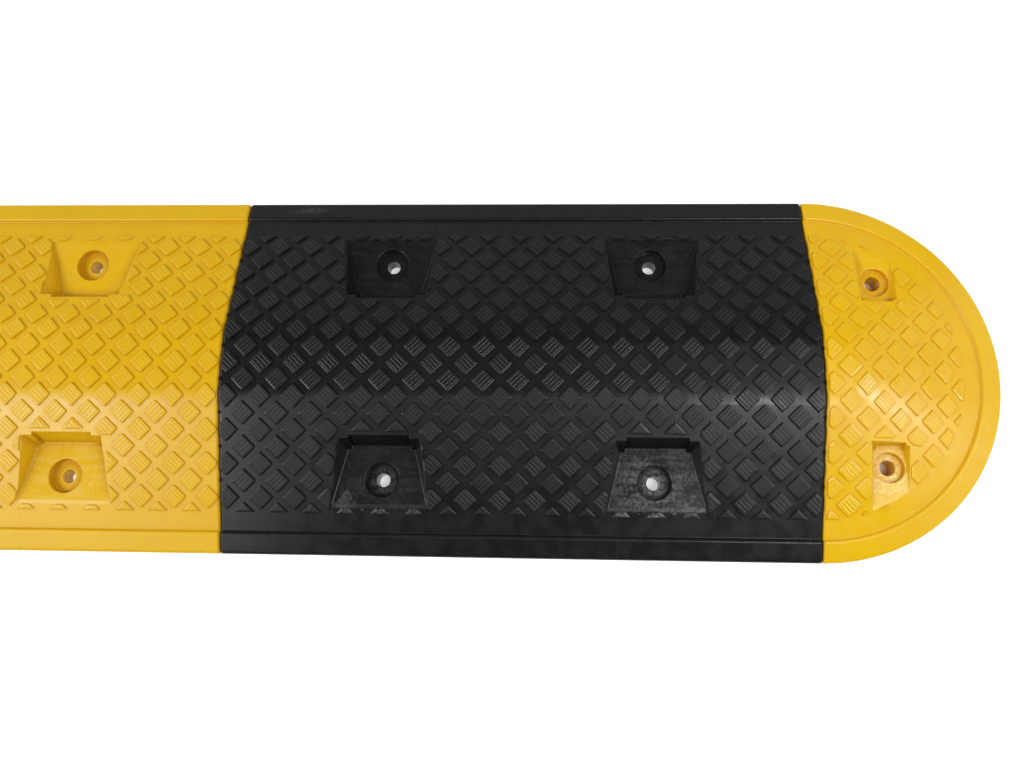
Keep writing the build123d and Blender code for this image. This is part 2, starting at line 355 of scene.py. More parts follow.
    def level_floor(self, tree: Tree, place: Socket) -> Socket:
        """Add the nodes that pick out the level pocket floors.

        Args:
            tree: The material's node tree.
            place: The Object coordinates.

        Returns:
            One on a level face below the crest, zero elsewhere.
        """
        facing = add_node(tree, "NewGeometry", output="True Normal")
        upward = add_node(tree, "SeparateXYZ", {0: facing}, "Z")
        tilted, flat = self.floor_level
        level = add_node(tree, "MapRange", {"Value": upward, "From Min": tilted, "From Max": flat})
        height = add_node(tree, "SeparateXYZ", {0: place}, "Z")
        low = add_node(tree, "Math", {0: height, 1: self.floor_below}, operation="LESS_THAN")
        return add_node(tree, "Math", {0: level, 1: low}, operation="MULTIPLY")


@dataclass(frozen=True)
class CrossSection:
    """Upper face across the ramp: a flat crest, with a round bend and a straight slope on each side."""

    crest_height: float = 47.5 * MM
    crest_half_width: float = 25 * MM
    bend_radius: float = 60 * MM
    toe_distance: float = 138.8 * MM
    toe_height: float = 15 * MM

    @property
    def fall(self) -> float:
        """Drop of the slope for each unit of distance from the centre line."""
        return (self.crest_height - self.toe_height) / (self.toe_distance - self.crest_half_width)

    @property
    def angle(self) -> float:
        """Tilt of the slope, in radians."""
        return math.atan(self.fall)

    @property
    def bend_start(self) -> float:
        """Distance from the centre line at which the flat crest ends."""
        return self.crest_half_width - self.bend_radius * math.tan(self.angle / 2)

    def height(self, distance: np.ndarray) -> np.ndarray:
        """Height of the upper face.

        The crest is level. In the bend the face drops by R - sqrt(R^2 - d^2), d from the bend's start, and
        beyond it by the fall times the distance.

        Args:
            distance: Distances from the centre line.

        Returns:
            Heights above the road.
        """
        past = distance - self.bend_start
        bend_run = self.bend_radius * math.sin(self.angle)
        into_bend = np.clip(past, 0, bend_run)
        bend_drop = self.bend_radius - np.sqrt(self.bend_radius**2 - into_bend**2)
        return self.crest_height - bend_drop - self.fall * np.maximum(past - bend_run, 0)

    def distance(self, arc: np.ndarray) -> np.ndarray:
        """Distance from the centre line of a point that lies some way along the upper face.

        Args:
            arc: Lengths measured along the face from the centre line.

        Returns:
            Distances in plan: the level part, the bend's R sin(turn) and the slope's length by its cosine.
        """
        past = arc - self.bend_start
        bend_length = self.bend_radius * self.angle
        turn = np.clip(past, 0, bend_length) / self.bend_radius
        slope_run = np.maximum(past - bend_length, 0) * math.cos(self.angle)
        return np.minimum(arc, self.bend_start) + self.bend_radius * np.sin(turn) + slope_run


@dataclass(frozen=True)
class StudPattern:
    """Studs of the tread: squares set cornerwise in staggered rows, ribbed each way in turn."""

    pitch: float = 28.65 * MM
    side: float = 15.7 * MM
    corner_cut: float = 0.6 * MM
    height: float = 1.6 * MM
    root: float = 1.2 * MM
    wall_lean: float = 0.6 * MM
    edge: float = 0.9 * MM
    edge_drop: float = 0.3 * MM
    rib_count: int = 4
    rib_pitch: float = 3.05 * MM
    rib_width: float = 1.7 * MM
    rib_height: float = 0.22 * MM
    rib_hip: float = 0.6 * MM
    rib_sink: float = 0.1 * MM
    rib_inset: float = 1.6 * MM
    last_row: int = 9
    tread_reach: float = 123.6 * MM

    # A square with its corners cut off has this many sides.
    SIDES = 8

    @property
    def half_diagonal(self) -> float:
        """Distance from a stud's centre to its uncut corner."""
        return self.side / math.sqrt(2)

    def lines(self) -> tuple[np.ndarray, np.ndarray]:
        """The eight lines that bound an uncut stud, as normals and limits n.p <= d about its centre."""
        order = np.arange(self.SIDES)
        turns = order * 2 * math.pi / self.SIDES
        normals = np.stack([np.cos(turns), np.sin(turns)], axis=-1)
        return normals, np.where(order % 2, self.side / 2, self.half_diagonal - self.corner_cut)


@dataclass(frozen=True)
class Pocket:
    """A fixing pocket's opening: a level floor that widens towards the toe, and a narrower bay behind."""

    floor_height: float
    back: float
    half_width: float
    flare: float
    bay_back: float
    bay_half_width: float
    bay_draft: float
    draft: float = math.radians(25)
    back_margin: float = 2 * MM
    side_margin: float = 0.2 * MM
    front_margin: float = 1.4 * MM

    # Which two of the walls below, or the floor's run-out after them, bound each region outside the pocket.
    REGIONS = ((0, 0), (2, 2), (3, 3), (1, 4), (1, 5), (6, 6))

    def walls(self) -> tuple[np.ndarray, np.ndarray, np.ndarray]:
        """Walls in plan: the bay's back, the shoulders, the two flanks and the two sides of the bay.

        Returns:
            Outward normals, distances at floor height with margins, and outward lean per unit of height.
        """
        flank = np.array([1, -self.flare]) / math.hypot(1, self.flare)
        normals = np.array([[0, -1], [0, -1], flank, flank * [-1, 1], [1, 0], [-1, 0]])
        on_flank = flank @ (self.half_width, -self.back) + self.side_margin
        bay_side = self.bay_half_width + self.side_margin
        distances = [self.bay_back + self.back_margin, self.back + self.side_margin]
        distances += [on_flank, on_flank, bay_side, bay_side]
        leans = np.tan([self.bay_draft, self.draft, self.draft, self.draft, 0, 0])
        return normals, np.array(distances), leans


@dataclass
class Studs:
    """Studs of one tread: plan centres, sideways squeeze of the row, rib turn and tangent plane of each."""

    x: np.ndarray
    y: np.ndarray
    squeeze: np.ndarray
    turn: np.ndarray
    z: np.ndarray
    fall_x: np.ndarray
    fall_y: np.ndarray

    def picked(self, which: np.ndarray) -> "Studs":
        """The studs at these indices or where this mask is true."""
        return Studs(*(getattr(self, part.name)[which] for part in fields(self)))

    def raised(self, across: np.ndarray, along: np.ndarray, height: np.ndarray) -> np.ndarray:
        """Place points given in each stud's own plane.

        A point is the stud's centre, plus its offset in plan carried down the tangent plane, plus its
        height along the plane's normal.

        Args:
            across: Offsets along X, with the studs as the first axis.
            along: Offsets along the row's own Y, before the squeeze.
            height: Heights above the tangent plane.

        Returns:
            Points in the frame, with a last axis of three.
        """
        shape = (-1,) + (1,) * (across.ndim - 1)
        fall_x, fall_y = self.fall_x.reshape(shape), self.fall_y.reshape(shape)
        along = along * self.squeeze.reshape(shape)
        lean = height / np.sqrt(1 + fall_x**2 + fall_y**2)
        return np.stack(
            [
                self.x.reshape(shape) + across - fall_x * lean,
                self.y.reshape(shape) + along - fall_y * lean,
                self.z.reshape(shape) + fall_x * across + fall_y * along + lean,
            ],
            axis=-1,
        )


def convex_corners(normals: np.ndarray, limits: np.ndarray) -> tuple[np.ndarray, np.ndarray]:
    """Corners of many convex polygons, each the region n.p <= d of its own lines.

    Every two lines are crossed by Cramer's rule. A crossing that lies outside a third line, or on an
    earlier crossing, is dropped, and the rest are put in order of their angle about their mean.

    Args:
        normals: Unit normals, with the polygon's lines on the axis before the last.
        limits: Their limits d.

    Returns:
        The corners, anticlockwise, with spare places filled by the first corner, and the number of corners.
    """
    first, second = np.triu_indices(limits.shape[-1], 1)
    one, two = normals[..., first, :], normals[..., second, :]
    one_limit, two_limit = limits[..., first], limits[..., second]
    cross = one[..., 0] * two[..., 1] - one[..., 1] * two[..., 0]
    crossing = np.abs(cross) > PARALLEL
    safe = np.where(crossing, cross, 1)
    points = np.stack(
        [
            (one_limit * two[..., 1] - two_limit * one[..., 1]) / safe,
            (two_limit * one[..., 0] - one_limit * two[..., 0]) / safe,
        ],
        axis=-1,
    )
    reach = np.einsum("...pk,...hk->...ph", points, normals)
    kept = crossing & (reach <= limits[..., None, :] + CROSSING_TOLERANCE).all(axis=-1)
    apart = np.linalg.norm(points[..., :, None, :] - points[..., None, :, :], axis=-1)
    doubled = np.tril(apart < SAME_CORNER, -1) & kept[..., None, :]
    kept &= ~doubled.any(axis=-1)
    count = kept.sum(axis=-1)
    middle = (points * kept[..., None]).sum(axis=-2) / np.maximum(count, 1)[..., None]
    around = points - middle[..., None, :]
    angle = np.where(kept, np.arctan2(around[..., 1], around[..., 0]), np.inf)
    points = np.take_along_axis(points, np.argsort(angle, axis=-1)[..., None], axis=-2)
    spare = np.arange(points.shape[-2]) >= count[..., None]
    return np.where(spare[..., None], points[..., :1, :], points), count


def polygon_size(points: np.ndarray) -> tuple[np.ndarray, np.ndarray]:
    """Areas of polygons by the shoelace formula, and how wide they are.

    Args:
        points: Corners in order, on the axis before the last.

    Returns:
        One area for each polygon, and twice that over its perimeter, which is small for a sliver.
    """
    following = np.roll(points, -1, axis=-2)
    doubled = (points[..., 0] * following[..., 1] - points[..., 1] * following[..., 0]).sum(axis=-1)
    perimeter = np.linalg.norm(following - points, axis=-1).sum(axis=-1)
    return doubled / 2, doubled / np.maximum(perimeter, SAME_CORNER)


class MeshParts:
    """Vertices and faces collected for one mesh."""

    def __init__(self) -> None:
        """Start with nothing."""
        self.points: list[np.ndarray] = []
        self.faces: list[list[int]] = []
        self.flat: list[np.ndarray] = []
        self.rib_highlight: list[np.ndarray] = []
        self.count = 0

    def add(self, points: np.ndarray, faces: list[np.ndarray], flat: bool, rib_highlight: np.ndarray) -> None:
        """Add copies of one shape.

        Args:
            points: Vertices of each copy, copies by vertices by three.
            faces: Vertex numbers within one copy, in arrays of faces with as many sides.
            flat: Whether each face is flat; otherwise they run into each other.
            rib_highlight: How much painted highlight each vertex of one copy takes, from 0 to 1.
        """
        copies, size = points.shape[:2]
        starts = self.count + size * np.arange(copies)
        self.points.append(points.reshape(-1, 3))
        self.rib_highlight.append(np.tile(rib_highlight, copies))
        for corners in faces:
            self.faces += (starts[:, None, None] + corners).reshape(-1, corners.shape[-1]).tolist()
            self.flat.append(np.full(copies * len(corners), flat))
        self.count += copies * size

    def build(self, name: str) -> bpy.types.Object:
        """Make the mesh object.

        Args:
            name: The piece's name.

        Returns:
            The object, at the origin.
        """
        mesh = bpy.data.meshes.new(name)
        mesh.from_pydata(np.concatenate(self.points).tolist(), [], self.faces, shade_flat=False)
        flat = mesh.attributes.new("sharp_face", "BOOLEAN", "FACE")
        flat.data.foreach_set("value", np.concatenate(self.flat))
        rib_highlight = mesh.attributes.new(RIB_HIGHLIGHT, "FLOAT", "POINT")
        rib_highlight.data.foreach_set("value", np.concatenate(self.rib_highlight))
        mesh.update()
        piece = bpy.data.objects.new(name, mesh)
        bpy.context.scene.collection.objects.link(piece)
        return piece


@dataclass
class Moulding(ABC):
    """One moulding of the ramp: its CAD node, its finish and the tread that stands on it."""

    node: str
    finish: MouldedPvc
    phase: float
    end_margin: float
    narrowest_stud: float
    profile: CrossSection
    pattern: StudPattern
    pocket: Pocket

    # Share of a stud's half diagonal over which the tangent plane is averaged.
    PLANE_SPAN = 0.6
    # Smallest share of its outline that the top of a stud keeps.
    LEAST_TOP = 0.3
    # A rib is at least this many times as long as one of its hips.
    SHORTEST_RIB = 4

    @abstractmethod
    def distance(self, x: np.ndarray, y: np.ndarray) -> np.ndarray:
        """Distance in plan that sets the height of the upper face."""

    @abstractmethod
    def columns(self) -> np.ndarray:
        """Places along X of the studs of an odd row."""

    @abstractmethod
    def pockets(self) -> np.ndarray:
        """Plan places of the fixing pockets."""

    @abstractmethod
    def bounds(self, studs: Studs) -> tuple[np.ndarray, np.ndarray]:
        """Lines in plan that end the tread, as normals and limits about each stud."""

    def height(self, x: np.ndarray, y: np.ndarray) -> np.ndarray:
        """Height of the upper face at points in plan."""
        return self.profile.height(self.distance(x, y))

    def lattice(self) -> Studs:
        """Lay out the studs before any is cut.

        Rows lie half a pitch apart along the face, and every second row is shifted by half a pitch.

        Returns:
            All the studs, with their tangent planes from the heights on four sides.
        """
        rows = np.arange(-self.pattern.last_row, self.pattern.last_row + 1)
        arc = np.abs(rows) * self.pattern.pitch / 2
        step = self.pattern.half_diagonal * self.PLANE_SPAN
        inner, outer = np.maximum(arc - step, 0), arc + step
        squeeze = (self.profile.distance(outer) - self.profile.distance(inner)) / (outer - inner)
        columns = self.columns()
        even_shift = (rows % 2 == 0) * self.pattern.pitch / 2
        x = (columns + even_shift[:, None]).ravel()
        y = np.repeat(np.sign(rows) * self.profile.distance(arc), columns.size)
        turn = np.repeat(np.where(rows % 2, 1.0, -1.0), columns.size)
        right, left = self.height(x + step, y), self.height(x - step, y)
        far, near = self.height(x, y + step), self.height(x, y - step)
        z = (np.mean([right, left, far, near], axis=0) + self.height(x, y)) / 2
        fall_x, fall_y = (right - left) / (2 * step), (far - near) / (2 * step)
        return Studs(x, y, np.repeat(squeeze, columns.size), turn, z, fall_x, fall_y)

    def pocket_lines(self, studs: Studs) -> tuple[np.ndarray, np.ndarray]:
        """Lines around the nearest pocket's opening, which a stud that they cut stays outside.

        A wall leans outwards as it rises, so it meets the stud's tangent plane in a line. The last line is
        where the level floor runs out on the slope.

        Args:
            studs: The studs to cut.

        Returns:
            Normals and limits of the seven lines about each stud.
        """
        pockets = self.pockets()
        offsets = np.stack([studs.x, studs.y], axis=-1)[:, None, :] - pockets
        nearest = np.linalg.norm(offsets, axis=-1).argmin(axis=-1)
        offset = np.take_along_axis(offsets, nearest[:, None, None], axis=1)[:, 0]
        side = np.sign(pockets[nearest, 1])
        wall_normals, distances, leans = self.pocket.walls()
        outward = wall_normals[None] * side[:, None, None]
        fall = np.stack([studs.fall_x, studs.fall_y], axis=-1)
        rise = studs.z - self.pocket.floor_height
        walls = fall[:, None, :] * leans[:, None] - outward
        limits = np.einsum("shk,sk->sh", outward, offset) - leans * rise[:, None] - distances
        runout = -rise - self.pocket.front_margin * self.profile.fall
        normals = np.concatenate([walls, fall[:, None, :]], axis=1)
        return normals, np.concatenate([limits, runout[:, None]], axis=1)

    def squeezed(
        self, studs: Studs, normals: np.ndarray, limits: np.ndarray
    ) -> tuple[np.ndarray, np.ndarray]:
        """Carry lines from plan into the studs' own unsqueezed planes.

        Args:
            studs: The studs that the lines belong to.
            normals: Plan normals, studs by lines by two.
            limits: Their limits.

        Returns:
            Unit normals and limits.
        """
        scaled = normals * np.stack([np.ones_like(studs.squeeze), studs.squeeze], axis=-1)[:, None, :]
        length = np.maximum(np.linalg.norm(scaled, axis=-1), PARALLEL)
        return scaled / length[..., None], limits / length

    def cut_studs(self) -> tuple[Studs, np.ndarray, np.ndarray]:
        """Cut the lattice to the tread's ends and around the pockets.

        A stud beside a pocket keeps what lies in the one region outside it that leaves the stud the most
        area, and a stud that is left as a mere sliver is dropped.

        Returns:
            The studs, and the normals and limits of the lines that bound each.
        """
        studs = self.lattice()
        own_normals, own_limits = self.pattern.lines()
        total = studs.x.size
        end_normals, end_limits = self.squeezed(studs, *self.bounds(studs))
        around_normals, around_limits = self.squeezed(studs, *self.pocket_lines(studs))
        regions = np.array(self.pocket.REGIONS)
        normals, limits = (
            np.concatenate(
                [
                    np.broadcast_to(own, (total, len(regions), *own.shape)),
                    np.repeat(end[:, None], len(regions), axis=1),
                    around[:, regions],
                ],
                axis=2,
            )
            for own, end, around in (
                (own_normals, end_normals, around_normals),
                (own_limits, end_limits, around_limits),
            )
        )
        area, width = polygon_size(convex_corners(normals, limits)[0])
        best = area.argmax(axis=1)
        kept = np.flatnonzero(width[np.arange(total), best] > self.narrowest_stud)
        return studs.picked(kept), normals[kept, best[kept]], limits[kept, best[kept]]

    def add_blocks(self, parts: MeshParts, studs: Studs, normals: np.ndarray, limits: np.ndarray) -> None:
        """Add the studs' blocks: an outline sunk into the face, leaning walls, a bevel and a flat top.

        The rings above the outline are the outline drawn in towards its centre by a set distance.

        Args:
            parts: The mesh that takes them.
            studs: The cut studs.
            normals: Normals of the lines that bound each.
            limits: Their limits.
        """
        corners, counts = convex_corners(normals, limits)
        pattern = self.pattern
        levels = (
            (0.0, -pattern.root),
            (pattern.wall_lean, pattern.height - pattern.edge_drop),
            (pattern.wall_lean + pattern.edge, pattern.height),
        )
        for sides in np.unique(counts):
            which = counts == sides
            outline = corners[which, :sides]
            centre = outline.mean(axis=1, keepdims=True)
            edge = np.roll(outline, -1, axis=1) - outline
            away = centre - outline
            apothem = np.abs(edge[..., 0] * away[..., 1] - edge[..., 1] * away[..., 0])
            apothem = (apothem / np.linalg.norm(edge, axis=-1)).min(axis=1)
            rings = []
            for inset, height in levels:
                share = np.maximum(1 - inset / apothem, self.LEAST_TOP)[:, None, None]
                ring = centre + (outline - centre) * share
                level = np.full(ring.shape[:2], height)
                rings.append(studs.picked(which).raised(ring[..., 0], ring[..., 1], level))
            ring_start = np.arange(sides)
            ring_next = np.roll(ring_start, -1)
            wall = np.stack([ring_start, ring_next, ring_next + sides, ring_start + sides], axis=-1)
            top = ring_start + sides * (len(levels) - 1)
            faces = [wall, wall + sides, top[None], ring_start[None, ::-1]]
            parts.add(np.concatenate(rings, axis=1), faces, True, np.zeros(sides * len(levels)))

    def add_ribs(self, parts: MeshParts, studs: Studs, normals: np.ndarray, limits: np.ndarray) -> None:
        """Add the low ribs on the studs: round-backed bars side by side, ended by the stud's own lines.

        Along a rib's line a, every bounding line n.p <= d gives one end, d less the rib's own offset over
        n.a, and the nearest ends count.

        Args:
            parts: The mesh that takes them.
            studs: The cut studs.
            normals: Normals of the lines that bound each.
            limits: Their limits.
        """
        pattern = self.pattern
        along = np.stack([np.ones_like(studs.turn), studs.turn], axis=-1) / math.sqrt(2)
        across = np.stack([-along[:, 1], along[:, 0]], axis=-1)
        offsets = (np.arange(pattern.rib_count) - (pattern.rib_count - 1) / 2) * pattern.rib_pitch
        slant = np.einsum("shk,sk->sh", normals, along)[:, None, :]
        sideways = np.einsum("shk,sk->sh", normals, across)[:, None, :]
        half = pattern.rib_width / 2
        room = limits[:, None, :] - pattern.rib_inset - sideways * offsets[None, :, None]
        room = room - np.abs(sideways) * half
        level = np.abs(slant) < PARALLEL
        reach = room / np.where(level, 1, slant)
        end = np.where(~level & (slant > 0), reach, np.inf).min(axis=-1)
        start = np.where(~level & (slant < 0), reach, -np.inf).max(axis=-1)
        blocked = (level & (room < 0)).any(axis=-1)
        hip = pattern.rib_hip
        stud, rib = np.nonzero(~blocked & (end - start > self.SHORTEST_RIB * hip))
        start, end, offset = start[stud, rib], end[stud, rib], offsets[rib]
        lengthwise = np.stack([start, end, end, start], axis=-1)
        lengthwise = np.concatenate([lengthwise, lengthwise + np.array([hip, -hip, -hip, hip])], axis=-1)
        base = np.array([-half, -half, half, half])
        sidestep = np.concatenate([base, base * (1 - hip / half)]) + offset[:, None]
        foot, ridge = pattern.height - pattern.rib_sink, pattern.height + pattern.rib_height
        height = np.broadcast_to(np.repeat([foot, ridge], base.size), lengthwise.shape)
        place = lengthwise[..., None] * along[stud][:, None] + sidestep[..., None] * across[stud][:, None]
        points = studs.picked(stud).raised(place[..., 0], place[..., 1], height)
        foot_and_ends = np.array([[3, 2, 1, 0], [1, 2, 6, 5], [3, 0, 4, 7]])
        back = np.array([[0, 1, 5, 4], [4, 5, 6, 7], [2, 3, 7, 6]])
        # The backs take the painted highlight, the feet and ends none.
        rib_highlight = np.repeat([0.0, 1.0], base.size)
        parts.add(points, [foot_and_ends], True, rib_highlight)
        parts.add(points, [back], False, rib_highlight)

    def build(self) -> bpy.types.Object:
        """Make the tread of this moulding.

        Returns:
            The tread's object, riding on the moulding's body.
        """
        studs, normals, limits = self.cut_studs()
        parts = MeshParts()
        self.add_blocks(parts, studs, normals, limits)
        self.add_ribs(parts, studs, normals, limits)
        tread = parts.build(f"tread_{self.node}")
        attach(tread, self.node)
        LOG.info("%s: %d studs, %d faces", tread.name, studs.x.size, len(tread.data.polygons))
        return tread

    def dress(self, tread: bpy.types.Object, plastic: dict[Piece, bpy.types.Material]) -> None:
        """Give the moulding and its tread the same plastic.

        Args:
            tread: The tread on this moulding.
            plastic: The plastic's material for each piece.
        """
        for piece, solid in ((Piece.SKIN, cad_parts[self.node]), (Piece.TREAD, tread)):
            solid.data.materials.clear()
            solid.data.materials.append(plastic[piece])


@dataclass
class StraightSection(Moulding):
    """A straight section with four fixing pockets."""

    length: float = 500 * MM
    joint_gap: float = 0.6 * MM
    pocket_spacing: float = 230 * MM
    pocket_offset: float = 95 * MM

    @property
    def middle(self) -> float:
        """Place of the section's centre along X, from its node's left end."""
        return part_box(self.node)[0].x + (self.length - self.joint_gap) / 2

    def distance(self, x: np.ndarray, y: np.ndarray) -> np.ndarray:
        """Distance from the centre line; the same all along the section."""
        return np.abs(y) + np.zeros_like(x)

    def columns(self) -> np.ndarray:
        """Places along X of the studs of an odd row, enough to pass both ends."""
        reach = math.ceil(self.length / self.pattern.pitch / 2) + 1
        return self.middle + (np.arange(-reach, reach + 1) + self.phase) * self.pattern.pitch

    def pockets(self) -> np.ndarray:
        """Plan places of the four fixing pockets."""
        signs = np.array([[-1, -1], [-1, 1], [1, -1], [1, 1]])
        return np.array([self.middle, 0]) + signs * np.array([self.pocket_spacing / 2, self.pocket_offset])

    def bounds(self, studs: Studs) -> tuple[np.ndarray, np.ndarray]:
        """Four lines that end the tread: one short of each end of the section and one above each lip.

        Args:
            studs: The studs to cut.

        Returns:
            Plan normals and limits about each stud.
        """
        half = self.length / 2 - self.end_margin
        along = studs.x - self.middle
        reach = self.pattern.tread_reach
        limits = np.stack([half - along, half + along, reach - studs.y, reach + studs.y], axis=-1)
        normals = np.array([[1, 0], [-1, 0], [0, 1], [0, -1]], float)
        return np.broadcast_to(normals, (*limits.shape, 2)), limits


@dataclass
class EndCap(Moulding):
    """A half-round end cap with two fixing pockets; its upper face is the section's, spun on the joint."""

    side: Side = Side.RIGHT
    pocket_setback: float = 56 * MM
    pocket_offset: float = 80 * MM

    @property
    def joint(self) -> float:
        """Place of the cap's joint face along X: a half width in from its round end."""
        low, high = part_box(self.node)
        return high.x - high.y if self.side is Side.RIGHT else low.x + high.y

    def distance(self, x: np.ndarray, y: np.ndarray) -> np.ndarray:
        """Distance from the middle of the joint face."""
        return np.hypot(x - self.joint, y)

    def columns(self) -> np.ndarray:
        """Places along X of the studs of an odd row, outward from the joint."""
        reach = math.ceil(self.pattern.tread_reach / self.pattern.pitch) + 1
        outward = (np.arange(-1, reach) + self.phase) * self.pattern.pitch
        return self.joint + self.side.value * outward

    def pockets(self) -> np.ndarray:
        """Plan places of the two fixing pockets."""
        x = self.joint + self.side.value * self.pocket_setback
        return np.array([[x, -self.pocket_offset], [x, self.pocket_offset]])

    def bounds(self, studs: Studs) -> tuple[np.ndarray, np.ndarray]:
        """Two lines that end the tread: one short of the joint, and the tangent of the tread's round edge.

        Args:
            studs: The studs to cut.

        Returns:
            Plan normals and limits about each stud.
        """
        out = self.side.value
        away = np.maximum(self.distance(studs.x, studs.y), PARALLEL)
        radial = np.stack([studs.x - self.joint, studs.y], axis=-1) / away[:, None]
        to_joint = np.broadcast_to(np.array([-out, 0.0]), radial.shape)
        limits = np.stack(
            [out * (studs.x - self.joint) - self.end_margin, self.pattern.tread_reach - away], axis=-1
        )
        return np.stack([to_joint, radial], axis=1), limits


@dataclass(frozen=True)
class Softbox:
    """An oblong lamp that faces a target."""

    name: str
    place: tuple[float, float, float]
    target: tuple[float, float, float]
    width: float
    height: float
    radiance: float

    # Height of the lamps that face straight down.
    CEILING = 1.5

    @classmethod
    def overhead(
        cls, name: str, x: float, y: float, width: float, height: float, radiance: float
    ) -> "Softbox":
        """A lamp at the ceiling that faces straight down."""
        return cls(name, (x, y, cls.CEILING), (x, y, 0.0), width, height, radiance)

    def hang(self) -> None:
        """Hang the lamp; its power is its radiance times pi times its area."""
        lamp = bpy.data.lights.new(self.name, "AREA")
        lamp.shape = "RECTANGLE"
        lamp.size = self.width
        lamp.size_y = self.height
        lamp.energy = self.radiance * math.pi * self.width * self.height
        softbox = bpy.data.objects.new(self.name, lamp)
        softbox.location = self.place
        away = Vector(self.place) - Vector(self.target)
        softbox.rotation_euler = away.to_track_quat("Z", "Y").to_euler()
        bpy.context.scene.collection.objects.link(softbox)


@dataclass(frozen=True)
class Studio:
    """Pale floor, soft lamps around the ramp, and the camera."""

    floor_half: float = 8.0
    floor_drop: float = 0.2 * MM
    floor_colour: str = "#F4F4F4"
    floor_glow: float = 0.5
    shade_place: tuple[float, float, float] = (0.8, 0.0, 0.0)
    shade_reach: float = 0.1
    ambient: float = 0.12
    # After its name, a lamp has its place, its target, its width, its height and its radiance.
    lamps: tuple[Softbox, ...] = (
        Softbox("left_window", (-2.0, 0.3, 1.25), (0.0, 0.3, 1.0), 3.0, 1.9, 1.95),
        Softbox.overhead("left_strip", -1.15, -0.57, 1.2, 0.18, 23.0),
        Softbox.overhead("left_panel", -1.1, -0.92, 1.5, 0.48, 3.2),
        Softbox.overhead("middle_strip", 0.22, -0.48, 1.55, 0.28, 1.2),
        Softbox.overhead("crest_strip", 0.3, 0.26, 1.3, 0.22, 0.3),
        Softbox.overhead("right_strip", 1.1, -0.43, 0.55, 0.2, 19.0),
        Softbox.overhead("cap_strip", 1.85, -0.46, 0.9, 0.2, 8.0),
        Softbox.overhead("right_panel", 1.45, 0.1, 0.4, 0.4, 4.6),
        Softbox.overhead("inner_panel", 1.12, 0.0, 0.36, 0.66, 1.2),
        Softbox.overhead("end_panel", 2.45, -0.1, 0.5, 0.4, 19.0),
        Softbox("right_window", (2.9, 0.0, 1.25), (0.0, 0.0, 1.0), 3.0, 1.9, 0.8),
        Softbox("far_panel", (0.5, 2.6, 1.2), (0.5, 0.0, 0.04), 5.0, 1.6, 0.44),
    )
    # The camera's place is fitted to the corners and holes of the right black section and end cap.
    camera_place: tuple[float, float, float] = mm(522.74, -151.7, 680.48)
    camera_azimuth: float = math.radians(11.505)
    camera_elevation: float = math.radians(77.804)
    camera_roll: float = math.radians(-10.833)
    camera_lens: float = 27.71
    sensor_width: float = 36.0

    def floor(self) -> None:
        """Lay a plain pale floor just under the ramp."""
        half, z = self.floor_half, -self.floor_drop
        corners = [(-half, -half, z), (half, -half, z), (half, half, z), (-half, half, z)]
        mesh = bpy.data.meshes.new("floor")
        mesh.from_pydata(corners, [], [range(len(corners))])
        floor = bpy.data.objects.new("floor", mesh)
        bpy.context.scene.collection.objects.link(floor)
        mesh.materials.append(self.floor_material())

    def floor_material(self) -> bpy.types.Material:
        """Matt white paper that takes the ramp's shadow and shows white to the camera.

        Returns:
            The floor's material: part diffuse, and part a glow that only camera, mirror and clear rays see.
            The glow is left out under both end caps, whose holes look down into their shade.
        """
        material = bpy.data.materials.new("matt_white_paper")
        material.use_nodes = True
        tree = material.node_tree
        tree.nodes.clear()
        seen = add_node(tree, "LightPath", output="Is Camera Ray")
        for ray in ("Is Glossy Ray", "Is Transmission Ray"):
            other = add_node(tree, "LightPath", output=ray)
            seen = add_node(tree, "Math", {0: seen, 1: other}, operation="MAXIMUM")
        place = add_node(tree, "TexCoord", output="Object")
        either_end = add_node(tree, "VectorMath", {0: place}, operation="ABSOLUTE")
        ends = {0: either_end, 1: self.shade_place}
        away = add_node(tree, "VectorMath", ends, "Value", operation="DISTANCE")
        open_floor = add_node(tree, "Math", {0: away, 1: self.shade_reach}, operation="GREATER_THAN")
        for share in (open_floor, self.floor_glow):
            seen = add_node(tree, "Math", {0: seen, 1: share}, operation="MULTIPLY")
        glow = add_node(tree, "Emission", {"Strength": seen})
        matt = add_node(tree, "BsdfDiffuse", {"Color": linear(self.floor_colour)})
        both = add_node(tree, "AddShader", {0: glow, 1: matt})
        add_node(tree, "OutputMaterial", {"Surface": both})
        return material

    def light(self) -> None:
        """Hang the lamps in a dim even room that looks white to the camera."""
        for lamp in self.lamps:
            lamp.hang()
        world = bpy.data.worlds.new("room")
        bpy.context.scene.world = world
        world.use_nodes = True
        tree = world.node_tree
        tree.nodes.clear()
        seen = add_node(tree, "LightPath", output="Is Camera Ray")
        strength = add_node(tree, "MapRange", {"Value": seen, "To Min": self.ambient, "To Max": 1.0})
        sky = add_node(tree, "Background", {"Strength": strength})
        add_node(tree, "OutputWorld", {"Surface": sky})

    def camera(self) -> None:
        """Stand the camera at the photograph's viewing angle: azimuth, elevation, then a roll."""
        turn, rise = self.camera_azimuth, self.camera_elevation
        back = Vector((math.sin(turn) * math.cos(rise), -math.cos(turn) * math.cos(rise), math.sin(rise)))
        right = Vector((math.cos(turn), math.sin(turn), 0))
        up = back.cross(right)
        rolled_right = math.cos(self.camera_roll) * right + math.sin(self.camera_roll) * up
        rolled_up = back.cross(rolled_right)
        data = bpy.data.cameras.new("camera")
        data.sensor_fit = "HORIZONTAL"
        data.sensor_width = self.sensor_width
        data.lens = self.camera_lens
        camera = bpy.data.objects.new("camera", data)
        bpy.context.scene.collection.objects.link(camera)
        axes = Matrix((rolled_right, rolled_up, back)).transposed().to_4x4()
        camera.matrix_world = Matrix.Translation(self.camera_place) @ axes
        bpy.context.scene.camera = camera


